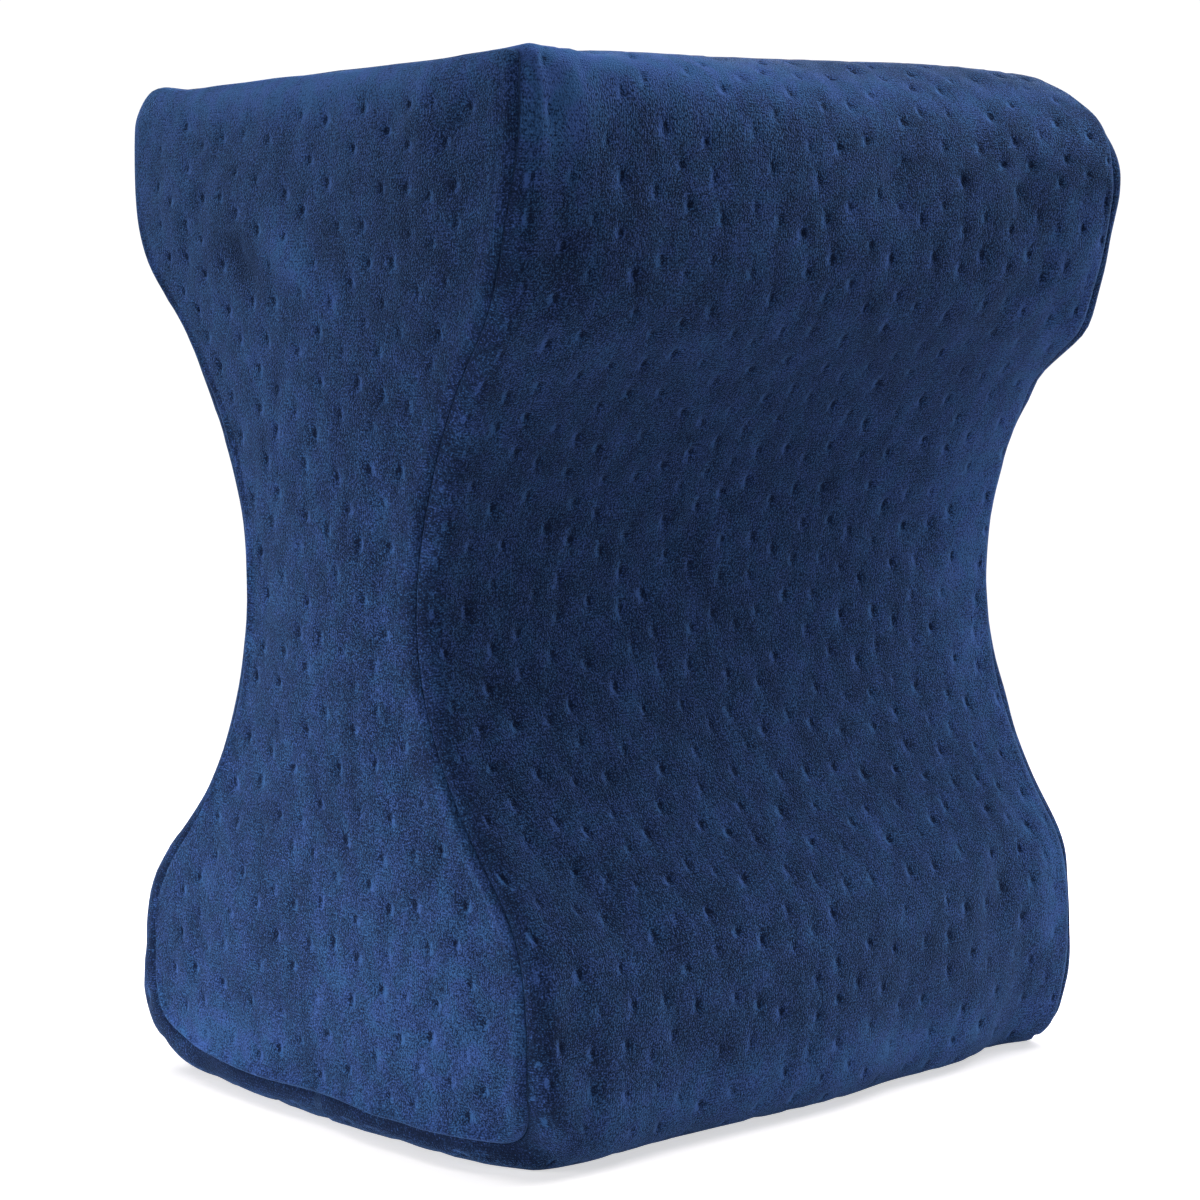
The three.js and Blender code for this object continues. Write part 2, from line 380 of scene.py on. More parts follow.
tableSteps = 4000


# Steps between low and high of about the given size, down to fineStep where near(value) is close to 0.
def gradedSteps(low, high, step, fineStep, reach, near):
    dense = np.linspace(low, high, tableSteps + 1)
    size = fineStep + (step - fineStep) * ease(near(dense) / reach)
    count = np.concatenate([[0], np.cumsum((dense[1] - dense[0]) / size[1:])])
    return np.interp(np.linspace(0, count[-1], round(count[-1]) + 1), count, dense)


# A lattice of cells, with the marked ones split into parts by parts. Corners are whole numbers of a part of
# a cell. It gives the corners and the faces; a wrapped lattice joins its last row to its first.
splitParts = 5
# each side of a cell: where it starts, the way along it, and the cell beyond it
cellSides = [((0, 0), (0, 1), (-1, 0)), ((0, 1), (1, 0), (0, 1)),
             ((1, 1), (0, -1), (1, 0)), ((1, 0), (-1, 0), (0, -1))]


def splitLattice(marked, wrap=False):
    rows, cols = marked.shape
    corners, index, faces = [], {}, []
    parts = splitParts

    def corner(r, c):
        key = (r % (parts * rows) if wrap else r, c)
        if key not in index:
            index[key] = len(corners)
            corners.append(key)
        return index[key]

    def isMarked(i, j):
        i = i % rows if wrap else i
        return 0 <= i < rows and 0 <= j < cols and marked[i, j]

    for i in range(rows):
        for j in range(cols):
            r, c = parts * i, parts * j
            if marked[i, j]:
                faces += [[corner(r + a, c + b), corner(r + a, c + b + 1),
                           corner(r + a + 1, c + b + 1), corner(r + a + 1, c + b)]
                          for a in range(parts) for b in range(parts)]
                continue
            ring = []
            for start, way, beyond in cellSides:
                cuts = parts if isMarked(i + beyond[0], j + beyond[1]) else 1
                ring += [corner(r + parts * start[0] + way[0] * a, c + parts * start[1] + way[1] * a)
                         for a in range(cuts)]
            faces.append(ring)
    return np.array(corners), faces, index


# The pressed dots: small upright oblongs, scattered close to evenly over all the cloth, one to a cell.
dots = {
    "spacing": 8.0,
    "halfWidth": 1.0,
    "halfLength": 1.4,
    "splitReach": (1.2, 1.5),    # cells whose middle is this close to a dot are split
    "fadeReach": 5.0,
    "shadeFades": (1.6, 2.6),    # the dot's painted shade and highlight end this far from its middle
    "farthest": 4.0,             # half widths
    "clearOfSeam": 4.0,
    "leanDegrees": 5.0,
    "widths": (0.8, 1.2),        # shares of the half width, and of the half length
    "lengths": (0.75, 1.25),
    "strengths": (0.5, 1.2),
}


# Scatters dots over the middles of a lattice's cells: their places on the cloth, and the cells to split.
def scatteredDots(middles, allowed, tries, seed):
    dice = random.Random(seed)
    spacing = dots["spacing"]
    flat, fits = middles.reshape(-1, 2), np.flatnonzero(allowed.ravel())
    found, cells = [], {}
    for _ in range(tries):
        u, v = flat[fits[dice.randrange(len(fits))]]
        home = (int(u // spacing), int(v // spacing))
        near = [q for i in (-1, 0, 1) for j in (-1, 0, 1) for q in cells.get((home[0] + i, home[1] + j), ())]
        if all((u - q[0]) ** 2 + (v - q[1]) ** 2 > spacing ** 2 for q in near):
            found.append((u, v))
            cells.setdefault(home, []).append((u, v))
    marked = np.zeros(allowed.shape, bool)
    wide, long = dots["splitReach"]
    for place in found:
        away = np.abs(middles - place)
        marked |= (away[..., 0] < wide) & (away[..., 1] < long)
    return np.array(found), marked


# For every point, how far it is from its dot's middle, in half widths and half lengths, the dot's strength,
# and how strongly the dot's painted shade and highlight show there.
def dotReach(places, cloth, seed):
    dice = random.Random(seed)
    farthest, (shadeNear, shadeFar) = dots["farthest"], dots["shadeFades"]
    reach = np.full((len(cloth), 4), farthest)
    reach[:, 2:] = 0
    closest = np.full(len(cloth), dots["fadeReach"])
    order = np.argsort(cloth[:, 1])
    sortedAlong = cloth[order, 1]
    for u, v in places:
        leanDegrees = dice.gauss(0, dots["leanDegrees"])
        wide = dots["halfWidth"] * dice.uniform(*dots["widths"])
        long = dots["halfLength"] * dice.uniform(*dots["lengths"])
        strength = dice.uniform(*dots["strengths"])
        low, high = np.searchsorted(sortedAlong, (v - dots["fadeReach"], v + dots["fadeReach"]))
        near = order[low:high]
        away = np.hypot(cloth[near, 0] - u, cloth[near, 1] - v)
        near, away = near[away < closest[near]], away[away < closest[near]]
        closest[near] = away
        across, along = leaning(cloth[near], (u, v), leanDegrees)
        reach[near, 0] = np.clip(across / wide, -farthest, farthest)
        reach[near, 1] = np.clip(along / long, -farthest, farthest)
        reach[near, 2] = strength
        reach[near, 3] = strength * (1 - ease((away - shadeNear) / (shadeFar - shadeNear)))
    return reach


# Makes a mesh of a cut piece, from its points in millimetres and the values at each point.
def meshPiece(name, points, faces, cloth, dot, paintedLightAndShade, fromSeam):
    mesh = bpy.data.meshes.new(name)
    mesh.from_pydata((points * mm).tolist(), [], faces)
    mesh.validate()
    loops = np.zeros(len(mesh.loops), np.int32)
    mesh.loops.foreach_get("vertex_index", loops)
    uv = mesh.uv_layers.new(name="cloth")
    uv.data.foreach_set("uv", (cloth[loops] * mm).astype(np.float32).ravel())
    attributes = {"dot": dot[:, :3], "dotShade": dot[:, 3], "paintedLightAndShade": paintedLightAndShade, "fromSeam": fromSeam}
    for key, values in attributes.items():
        kind, field = ("FLOAT", "value") if values.ndim == 1 else ("FLOAT_VECTOR", "vector")
        mesh.attributes.new(key, kind, "POINT").data.foreach_set(field, values.astype(np.float32).ravel())
    mesh.shade_smooth()
    piece = bpy.data.objects.new(name, mesh)
    bpy.context.scene.collection.objects.link(piece)
    return piece


# Joins two chains of points into a strip of triangles, by how far each has come.
def zipped(left, right, leftShare, rightShare):
    faces, i, j = [], 0, 0
    while i < len(left) - 1 or j < len(right) - 1:
        nextLeft = leftShare[i + 1] if i < len(left) - 1 else math.inf
        nextRight = rightShare[j + 1] if j < len(right) - 1 else math.inf
        if nextLeft <= nextRight:
            face = [left[i], left[i + 1], right[j]]
            i += 1
        else:
            face = [left[i], right[j + 1], right[j]]
            j += 1
        if len(set(face)) == 3:
            faces.append(face)
    return faces


# The band: one long strip round the block, from one seam to the other. Its cloth is measured across from
# the middle and along from the middle of the bottom.
band = {
    "halfCut": 98.5,
    "tuftHighlights": [(-96, 97), (-97, 89), (-96, 232), (-95, 208), (-60, 207)],      # small painted highlights at the seam
    "rowStep": 3.0,
    "cornerStep": 1.3,
    "cornerReach": 26.0,
    "colStep": 2.5,
    "edgeStep": 0.42,
    "edgeReach": 13.0,
    "endsLead": 0.1,             # how far the middle of each end leads its corners in the closing strip
    "tries": 60000,
    "dotSeeds": (11, 12),        # of the dots' places and of their lean
    "ridgeSeeds": {-1: 41, 1: 91},
    "puckerSeeds": {-1: 91, 1: 111},
    "lift": 0.0,                 # tone added all over, and painted shade beside the seam
    "atSeam": -0.1,
    "creases": [
        ((52, 129), (62, 127), 2.2, -0.5),        # short fold on the lower slope
        ((-84, 92), (-78, 74), 4.0, -0.8),        # cover turned under at the near bottom corner
        ((30, 268), (84, 262), 9.0, -0.4),        # slack under the far top roll
        ((-70, 178), (-20, 166), 10.0, 0.4),
        ((-90, 338), (-88, 308), 1.8, -0.5),      # gathers at the near top corner
        ((-84, 340), (-80, 318), 2.4, 0.45),
        ((-75, 341), (-72, 324), 2.2, -0.35),
        ((-60, 342), (-58, 328), 2.6, 0.3),
    ],
    # painted light and shade: lighter and darker patches of tone on the band
    "paintedLightAndShade": [
        ((-58, 336), (58, 11), 0, 1.2),           # painted highlight along the top roll
        ((-80, 338), (12, 6), 0, 0.4),
        ((54, 336), (50, 9), 0, 0.42),
        ((-86, 326), (12, 18), 0, 0.7),
        ((-10, 300), (36, 26), 0, 0.13),
        ((86, 290), (14, 26), 0, 0.4),
        ((-46, 303), (20, 12), 10, 0.15),
        ((-10, 81), (110, 8), 0, 0.42),           # painted highlight along the foot
        ((24, 80), (44, 8), 0, 0.25),
        ((58, 106), (14, 12), 0, -0.12),
        ((92, 118), (8, 24), 0, 0.5),
        ((-95, 36), (9, 52), 0, -0.4),            # painted shade under the left panel
        ((-95, girth - 36), (9, 52), 0, -0.5),
        ((-60, 228), (15, 44), 0, -0.08),         # painted shade beside the near seam
        ((-12, 214), (16, 30), 20, -0.06),
        ((89, 315), (6, 14), 0, -0.12),
        ((88, 214), (16, 60), 0, 0.7),
        ((60, 245), (18, 26), 0, 0.13),
        ((38, 129), (22, 6), -8, 0.14),
        ((48, 115), (9, 6), 0, -0.16),
        ((86, 106), (8, 22), 0, 0.24),
        ((8, 102), (46, 13), 0, -0.08),
        ((-40, 150), (24, 5), -12, 0.07),
        ((-52, 128), (12, 10), 30, -0.07),
        ((20, 190), (30, 8), -20, -0.05),
        ((34, 262), (26, 10), 16, -0.08),
        ((10, 300), (14, 8), 0, 0.08),
    ],
}


# A point of the band. Past the seam it follows the turned edge inwards.
def bandPoint(along, across):
    side = np.sign(across)

    def atSeams(make):
        return np.where(side < 0, make(-1), make(1))

    seamRun, gape = atSeams(lambda k: seamAt(k, along))
    tuck = np.maximum(np.abs(across) - band["halfCut"], 0)
    whole = edge["bandHalf"] + seamRun - edge["seamGap"] / 2
    run = np.minimum(np.abs(across) / band["halfCut"], 1) * whole
    fromSeam = whole - run
    ridge, (sunkReach, sunkDepth) = edge["bandRidge"], edge["sunk"]
    relief = atSeams(lambda k: seamRelief(along, fromSeam, gape, ridge, band["ridgeSeeds"][k]))
    relief -= sunkDepth * gape * np.exp(-(fromSeam / sunkReach) ** 2)
    puckered = atSeams(lambda k: puckerAt(along, fromSeam, band["puckerSeeds"][k]))
    relief += puckered * ease(fromSeam / edge["puckersFrom"])
    out, inset = onEdge(run - edge["bandHalf"], relief - tuck)
    a = np.interp(along % girth, roundLength, roundAcross)
    u = np.interp(along % girth, roundLength, roundUp)
    y, z = sectionPoint(a, u, inset, side * out)

    # over the edge a point slides along the block, and its cloth with it
    def onFace(way):
        acrossIt, upIt = (np.interp(way % girth, roundLength, table) for table in (roundAcross, roundUp))
        return np.column_stack(sectionPoint(acrossIt, upIt, np.zeros_like(way), side * out))

    wayOn = onFace(along + 0.5) - onFace(along - 0.5)
    wayOn /= np.maximum(np.linalg.norm(wayOn, axis=1), hair)[:, None]
    slid = ((np.column_stack([y, z]) - onFace(along)) * wayOn).sum(axis=1)
    full = fullness(np.clip(out / edge["panelLevel"], 0, 1))
    onLeg = (np.abs(a) > 1 - tiny) * np.sign(a)
    swell = creased(np.column_stack([across, along]), band["creases"])
    y = y + onLeg * (crowns["legFace"] * fullness(u) * full + swell)
    z = z + (u > 1 - tiny) * (crowns["top"] * fullness(a) * full + swell)
    return np.column_stack([side * out, y, z]), fromSeam, slid


def makeBand():
    corners = wayRound([1, 2, 3, 4])
    rows = gradedSteps(0, girth, band["rowStep"], band["cornerStep"], band["cornerReach"],
                       lambda t: np.min([np.abs(t - c) for c in corners], axis=0))
    cols = gradedSteps(-band["halfCut"], band["halfCut"], band["colStep"], band["edgeStep"],
                       band["edgeReach"], lambda s: band["halfCut"] - np.abs(s))
    tucks = band["halfCut"] + np.array(edge["tucks"])
    cols = np.concatenate([-tucks[::-1], cols, tucks])
    rowCount, colCount = len(rows) - 1, len(cols) - 1
    middles = np.stack(np.meshgrid((cols[1:] + cols[:-1]) / 2, (rows[1:] + rows[:-1]) / 2), axis=-1)
    allowed = np.abs(middles[..., 0]) < band["halfCut"] - dots["clearOfSeam"]
    placesSeed, leanSeed = band["dotSeeds"]
    places, marked = scatteredDots(middles, allowed, band["tries"], placesSeed)
    corner, faces, index = splitLattice(marked, wrap=True)
    along = np.interp(corner[:, 0] / splitParts, np.arange(rowCount + 1), rows)
    across = np.interp(corner[:, 1] / splitParts, np.arange(colCount + 1), cols)
    points, fromSeam, slid = bandPoint(along, across)
    cloth = np.column_stack([across, along])
    # the turned edges are closed by a strip of triangles behind each panel
    half = int(np.argmin(np.abs(rows - (corners[1] + corners[2]) / 2)))
    a, u = np.interp(rows, roundLength, roundAcross), np.interp(rows, roundLength, roundUp)
    climb = u + band["endsLead"] * np.sign(u) * (1 - np.abs(a))
    for col, flip in ((0, False), (colCount, True)):
        front = [index[(splitParts * k, splitParts * col)] for k in range(half + 1)]
        back = [index[(splitParts * (k % rowCount), splitParts * col)] for k in range(rowCount, half - 1, -1)]
        cap = zipped(front, back, climb[:half + 1], climb[half:][::-1])
        faces += [f[::-1] for f in cap] if flip else cap
    dot, paintedLightAndShade = dotReach(places, cloth, leanSeed), paintLightAndShade(cloth, band["paintedLightAndShade"])
    cloth[:, 1] += slid
    print(f"pillow: band of {len(places)} dots, {len(points)} points")
    return {"name": "velourBand", "points": standing(points), "faces": faces, "cloth": cloth,
            "dot": dot, "paintedLightAndShade": paintedLightAndShade, "fromSeam": fromSeam}


# The side panels: an hourglass sheet each. Their cloth is measured in its own y and z.
panel = {
    "cells": (66, 104),
    "evenShare": 0.75,           # the rest of the spacing bunches towards the rim
    "rimShares": (0.16, 0.32, 0.46, 0.59, 0.7, 0.8, 0.88, 0.95, 1.0),
    "thickness": 1.8,
    "dotLevel": 98.0,
    "dotsClear": (1, 4),         # rows and columns without dots at the rim
    "faceFromSeam": 5.0,         # the face begins about this far from the seam
    "tries": 7500,
    "dotSeeds": {-1: (6, 4), 1: (16, 18)},
    "ridgeSeeds": {-1: 52, 1: 70},
    "puckerSeeds": {-1: 34, 1: 48},
    "lift": 0.06,                # tone added all over, and painted shade beside the seam
    "atSeam": 0.0,
    "names": {-1: "velourPanelLeft", 1: "velourPanelRight"},
    # small painted highlights near the seam
    "tuftHighlights": [(-70, 46), (-72, 14), (-36, 205), (-64, 90)],
    "creases": {
        -1: [
            ((30, 210), (15, 200), 3.6, -1.5),    # slanting slack below the top
            ((12, 212), (-10, 197), 3.8, 1.2),
            ((-14, 200), (-30, 191), 4.2, -0.6),
            ((-52, 243), (-62, 226), 5.0, -0.5),
            ((50, 232), (56, 208), 6.0, 0.4),
            ((-20, 22), (24, 20), 7.0, 0.4),
            ((-64, 243), (-58, 230), 2.2, -0.5),      # crinkles where it rolls over the top
            ((-46, 243), (-43, 231), 2.2, 0.35),
            ((-30, 243), (-29, 233), 2.4, -0.3),
            ((-6, 243), (-4, 232), 2.6, 0.3),
            ((18, 243), (20, 233), 2.4, -0.3),
            ((46, 243), (43, 229), 2.6, -0.45),
        ],
        1: [
            ((-20, 205), (14, 192), 4.5, -0.7),
            ((26, 60), (2, 52), 5.0, 0.6),
            ((50, 230), (58, 206), 6.0, -0.4),
        ],
    },
    # painted light and shade: lighter and darker patches of tone on each panel
    "paintedLightAndShade": {
        -1: [
            ((-44, 208), (17, 36), 12, -0.26),    # painted shade beside the near top corner
            ((60, 238), (13, 16), 0, 0.14),
            ((4, 247), (80, 8), 0, 1.0),          # painted highlight along the top roll
            ((22, 206), (4.5, 11), -50, -0.9),    # painted shade and highlight on the slack's two sides
            ((0, 206), (4.2, 17), -55, 0.75),
            ((-12, 212), (5, 13), -55, -0.3),
            ((-54, 36), (18, 28), 0, 0.22),
            ((74, 205), (8, 26), 0, 0.2),
            ((-26, 30), (34, 24), 20, 0.3),       # painted highlight at the foot
            ((55, 8), (32, 11), -12, 0.65),
            ((14, 54), (13, 22), 0, -0.12),
            ((-6, 66), (7, 24), 28, -0.08),
            ((-24, 58), (5, 22), 28, 0.08),
            ((14, 44), (5, 20), 24, -0.08),
            ((38, 30), (10, 9), 0, 0.10),
            ((20, 222), (12, 20), -20, -0.07),
            ((6, 176), (9, 16), 10, 0.06),
            ((-12, 140), (10, 18), 0, -0.05),
        ],
        1: [
            ((20, 200), (20, 30), 15, -0.10),
            ((-30, 60), (26, 22), -20, 0.10),
            ((10, 90), (9, 26), 25, -0.08),
        ],
    },
}


# Puckers on a panel, the sum of those from its four sides.
def panelPuckers(side, across, up, beyond):
    halfY = (bottomHalf + topHalf) / 2
    ones = np.ones_like(across)
    sides = [(-ones, up, (1 + across) * halfY), (ones, up, (1 - across) * halfY),
             (across, -ones, (1 + up) * halfHeight), (across, ones, (1 - up) * halfHeight)]
    total = 0
    for a, u, away in sides:
        total = total + puckerAt(alongRim(a, u), away + beyond, panel["puckerSeeds"][side])
    return total


# How far round a point of the section's rim is.
def alongRim(across, up):
    rim = 1 - 1e-9
    onEnd = np.where(up > 0, 2 + (across + 1) / 2, np.where(across < 0, -across, 5 - across))
    onBack = np.where(across >= rim, 3 + (1 - up) / 2, onEnd)
    return wayRound(np.where(across <= -rim, 1 + (up + 1) / 2, onBack))


def makePanel(side):
    colCount, rowCount = panel["cells"]

    def spaced(count):
        even = np.linspace(-1, 1, count + 1)
        return even * panel["evenShare"] + np.sin(even * math.pi / 2) * (1 - panel["evenShare"])

    def place(across, up, inset, x):
        y, z = sectionPoint(across, up, inset, side * x)
        return np.column_stack([side * x, y, z])

    colAcross, rowUp = spaced(colCount), spaced(rowCount)
    a, u = np.meshgrid((colAcross[1:] + colAcross[:-1]) / 2, (rowUp[1:] + rowUp[:-1]) / 2)
    inner, dotLevel = np.full(a.size, edge["inset"]), np.full(a.size, panel["dotLevel"])
    middles = place(a.ravel(), u.ravel(), inner, dotLevel)[:, 1:].reshape(a.shape + (2,))
    allowed = np.zeros(a.shape, bool)
    clearRows, clearCols = panel["dotsClear"]
    allowed[clearRows:-clearRows, clearCols:-clearCols] = True
    placesSeed, leanSeed = panel["dotSeeds"][side]
    places, marked = scatteredDots(middles, allowed, panel["tries"], placesSeed)
    corner, faces, index = splitLattice(marked)
    up = np.interp(corner[:, 0] / splitParts, np.arange(rowCount + 1), rowUp)
    across = np.interp(corner[:, 1] / splitParts, np.arange(colCount + 1), colAcross)

    def face(across, up):
        flat = place(across, up, np.full(len(up), edge["inset"]), np.full(len(up), edge["panelLevel"]))
        level = crowns["panel"] * fullness(across) * fullness(up ** 2)
        level += panelPuckers(side, across, up, panel["faceFromSeam"])
        flat[:, 0] += side * (level + creased(flat[:, 1:], panel["creases"][side]))
        return flat

    points = [face(across, up)]
    ringKeys = ([(0, j) for j in range(colCount)] + [(i, colCount) for i in range(rowCount)]
                + [(rowCount, j) for j in range(colCount, 0, -1)] + [(i, 0) for i in range(rowCount, 0, -1)])
    ring = [index[(splitParts * i, splitParts * j)] for i, j in ringKeys]
    ringUp = np.array([rowUp[i] for i, j in ringKeys])
    ringAcross = np.array([colAcross[j] for i, j in ringKeys])
    along = alongRim(ringAcross, ringUp)
    seamRun, gape = seamAt(side, along)
    first = seamRun + edge["seamGap"] / 2
    atFace = panelPuckers(side, ringAcross, ringUp, panel["faceFromSeam"])
    atFace += creased(points[0][ring, 1:], panel["creases"][side])
    cuts, apart = [], []
    for share in panel["rimShares"]:
        fromSeam = (1 - share) * (arcRun[-1] - first)
        relief = seamRelief(along, fromSeam, gape, edge["panelRidge"], panel["ridgeSeeds"][side])
        relief *= ease(share * 2)        # it fades out where the face begins
        level = panelPuckers(side, ringAcross, ringUp, fromSeam) * share + atFace * (1 - share)
        relief += level * ease(fromSeam / edge["puckersFrom"])
        cuts.append(onEdge(first + fromSeam, relief))
        apart.append(fromSeam)
    cuts += [onEdge(first, relief - tuck) for tuck in edge["tucks"]]
    apart += [fromSeam] * len(edge["tucks"])
    total, last = len(corner), ring

    def joined(outer, inner):
        count = len(outer)
        return [[outer[(k + 1) % count], outer[k], inner[k], inner[(k + 1) % count]] for k in range(count)]

    for x, inset in cuts:
        points.append(place(ringAcross, ringUp, inset, x))
        this = list(range(total, total + len(ring)))
        faces += joined(last, this)
        total, last = total + len(ring), this
    under, underFaces, underIndex = splitLattice(np.zeros_like(marked))
    points.append(face(colAcross[under[:, 1] // splitParts], rowUp[under[:, 0] // splitParts]))
    points[-1][:, 0] -= side * panel["thickness"]
    faces += joined(last, [underIndex[(splitParts * i, splitParts * j)] + total for i, j in ringKeys])
    faces += [[n + total for n in f[::-1]] for f in underFaces]
    points = np.vstack(points)
    # over the edge the cloth is measured on outwards, as it was when it lay flat
    cloth = points[:, 1:].copy()
    fromSeam = np.full(len(points), arcRun[-1])
    ahead, behind = np.roll(cloth[ring], -1, axis=0), np.roll(cloth[ring], 1, axis=0)
    outward = (ahead - behind)[:, ::-1] * (1, -1)
    outward /= np.linalg.norm(outward, axis=1)[:, None]
    fromSeam[ring] = arcRun[-1] - first
    before, extra = points[ring], 0
    for k, away in enumerate(apart):
        rows = slice(len(corner) + k * len(ring), len(corner) + (k + 1) * len(ring))
        fromSeam[rows] = away
        flat = ((points[rows] - before)[:, 1:] * outward).sum(axis=1)
        extra = extra + np.hypot(points[rows, 0] - before[:, 0], flat) - flat
        cloth[rows] += outward * extra[:, None]
        before = points[rows]
    if side < 0:
        faces = [f[::-1] for f in faces]
    dot = dotReach(places, cloth, leanSeed)
    dot[len(corner):] = (dots["farthest"], dots["farthest"], 0, 0)
    print(f"pillow: {panel['names'][side]} of {len(places)} dots, {len(points)} points")
    return {"name": panel["names"][side], "points": standing(points), "faces": faces, "cloth": cloth,
            "dot": dot, "paintedLightAndShade": paintLightAndShade(cloth, panel["paintedLightAndShade"][side]), "fromSeam": fromSeam}


# Turns a piece with its modifiers into a plain mesh.
def settled(piece):
    graph = bpy.context.evaluated_depsgraph_get()
    mesh = bpy.data.meshes.new_from_object(piece.evaluated_get(graph), preserve_all_data_layers=True,
                                           depsgraph=graph)
    piece.modifiers.clear()
    piece.data = mesh
    mesh.name = piece.name


# The filling: the cut pieces are sewn into one cover of cloth, held by its seams and the floor and blown out
# by the foam, and each piece is then moved as the cover was.
filling = {
    "cell": 5.0,
    "pressure": 4.0,
    "frames": 20,
    "slack": 0.01,
    "seamHolds": (4.0, 16.0),        # all the way this near to a seam, and not at all this far off
    "floorHolds": (3.0, 22.0),
    "most": 2.4,
    "neighbours": 6,
    "free": 1.0,                 # nothing lower than this moves
}


# The nearest points of a tree and how far they are off.
def nearest(tree, points, count=1):
    found = [tree.find_n(Vector(p), count) for p in points]
    index = np.array([[hit[1] for hit in hits] for hits in found])
    return index, np.array([[hit[2] for hit in hits] for hits in found])


def treeOf(points):
    tree = KDTree(len(points))
    for k, p in enumerate(points):
        tree.insert(Vector(p), k)
    tree.balance()
    return tree


# The cover's points in millimetres, at rest or blown out.
def coverPoints(mesh):
    flat = np.zeros(len(mesh.vertices) * 3)
    mesh.vertices.foreach_get("co", flat)
    return flat.reshape(-1, 3) / mm


def blownOut(cuts):
    points, faces, total = [], [], 0
    for cut in cuts:
        faces += [[n + total for n in face] for face in cut["faces"]]
        points.append(cut["points"])
        total += len(cut["points"])
    mesh = bpy.data.meshes.new("cover")
    mesh.from_pydata((np.vstack(points) * mm).tolist(), [], faces)
    cover = bpy.data.objects.new("cover", mesh)
    scene = bpy.context.scene
    scene.collection.objects.link(cover)
    remesh = cover.modifiers.new("remesh", "REMESH")
    remesh.mode, remesh.voxel_size = "VOXEL", filling["cell"] * mm
    settled(cover)
    rest = coverPoints(cover.data)
    onSeam = np.abs(cuts[0]["cloth"][:, 0]) > band["halfCut"] - hair
    fromSeam = nearest(treeOf(cuts[0]["points"][onSeam][::2]), rest)[1][:, 0]

    # 1 as far as the first reach of a hold, and 0 from the second on
    def hold(away, reaches):
        full, none = reaches
        return 1 - ease((away - full) / (none - full))

    held = np.maximum(hold(fromSeam, filling["seamHolds"]), hold(rest[:, 2], filling["floorHolds"]))
    group = cover.vertex_groups.new(name="held")
    for k, weight in enumerate(held):
        group.add([k], float(weight), "REPLACE")
    simulation = cover.modifiers.new("cloth", "CLOTH")
    simulation.point_cache.frame_end = filling["frames"]
    settings = simulation.settings
    settings.vertex_group_mass = "held"
    settings.use_pressure, settings.uniform_pressure_force = True, filling["pressure"]
    settings.shrink_min = -filling["slack"]
    settings.effector_weights.gravity = 0
    for step in range(1, filling["frames"] + 1):
        scene.frame_set(step)
    moved = coverPoints(cover.evaluated_get(bpy.context.evaluated_depsgraph_get()).data) - rest
    scene.frame_set(1)
    bpy.data.objects.remove(cover)
    far = np.linalg.norm(moved, axis=1)
    print(f"pillow: cover blown out by up to {far.max():.1f} mm, {np.median(far):.1f} as a rule")
    return rest, moved * (filling["most"] / (filling["most"] + far))[:, None]


def filled(cuts):
    rest, moved = blownOut(cuts)
    tree = treeOf(rest)
    for cut in cuts:
        index, away = nearest(tree, cut["points"], filling["neighbours"])
        share = 1 / (away + 1) ** 2      # the nearer a point of the cover, the more it counts
        share /= share.sum(axis=1)[:, None]
        swell = (moved[index] * share[..., None]).sum(axis=1)
        free = ease((cut["points"][:, 2] - filling["free"]) / filling["floorHolds"][0])
        cut["points"] += swell * free[:, None]
    return cuts


cutPieces = filled([makeBand(), makePanel(-1), makePanel(1)])
velourBand, leftPanel, rightPanel = (meshPiece(**cut) for cut in cutPieces)


# A socket with arithmetic: an expression on it adds its Math nodes.
class Flow:
    def __init__(self, sheet, socket):
        self.sheet, self.socket = sheet, socket

    def maths(self, operation, first, second):
        return self.sheet.add("ShaderNodeMath", {"operation": operation}, {0: first, 1: second})

    def __add__(self, other):
        return self.maths("ADD", self, other)

    def __sub__(self, other):
        return self.maths("SUBTRACT", self, other)

    def __rsub__(self, other):
        return self.maths("SUBTRACT", other, self)

    def __mul__(self, other):
        return self.maths("MULTIPLY", self, other)

    __radd__ = __add__
    __rmul__ = __mul__

    def also(self, name):
        return Flow(self.sheet, self.socket.node.outputs[name])


# A node tree that is written as expressions. Settings are set before the sockets.
class Sheet:
    def __init__(self, tree):
        self.tree = tree
        tree.nodes.clear()

    def add(self, kind, settings=None, sockets=None, out=0):
        node = self.tree.nodes.new(kind)
        for key, value in (settings or {}).items():
            setattr(node, key, value)
        for key, value in (sockets or {}).items():
            if isinstance(value, Flow):
                self.tree.links.new(value.socket, node.inputs[key])
            else:
                node.inputs[key].default_value = value
        return Flow(self, node.outputs[out])

    def finishWith(self, kind, key, last):
        self.tree.links.new(last.socket, self.tree.nodes.new(kind).inputs[key])

    def mixColour(self, share, low, high):
        return self.add("ShaderNodeMix", {"data_type": "RGBA"}, {0: share, 6: low, 7: high}, out=2)

    def smooth(self, value, low, high, toLow=0.0, toHigh=1.0):
        return self.add("ShaderNodeMapRange", {"interpolation_type": "SMOOTHSTEP"},
                        {0: value, 1: low, 2: high, 3: toLow, 4: toHigh})

    # 1 at a place in a plane and fading to 0 about reach away
    def near(self, across, along, atAcross, atAlong, reach):
        apart = (across - atAcross) * (across - atAcross) + (along - atAlong) * (along - atAlong)
        return self.smooth(apart, 0.0, 2 * reach * reach, 1.0, 0.0)

    def noise(self, vector, size, detail=1.0, roughness=0.5):
        return self.add("ShaderNodeTexNoise", {"noise_dimensions": "2D"},
                        {"Vector": vector, "Scale": 1 / size, "Detail": detail, "Roughness": roughness})


# Presses the dots into a piece, from its "dot" attribute: a pit with a soft rim in a wider shallow hollow.
press = {"depth": 0.5, "rim": 0.8, "hollow": 0.5, "hollowReach": 3.8, "squareness": 2.6}


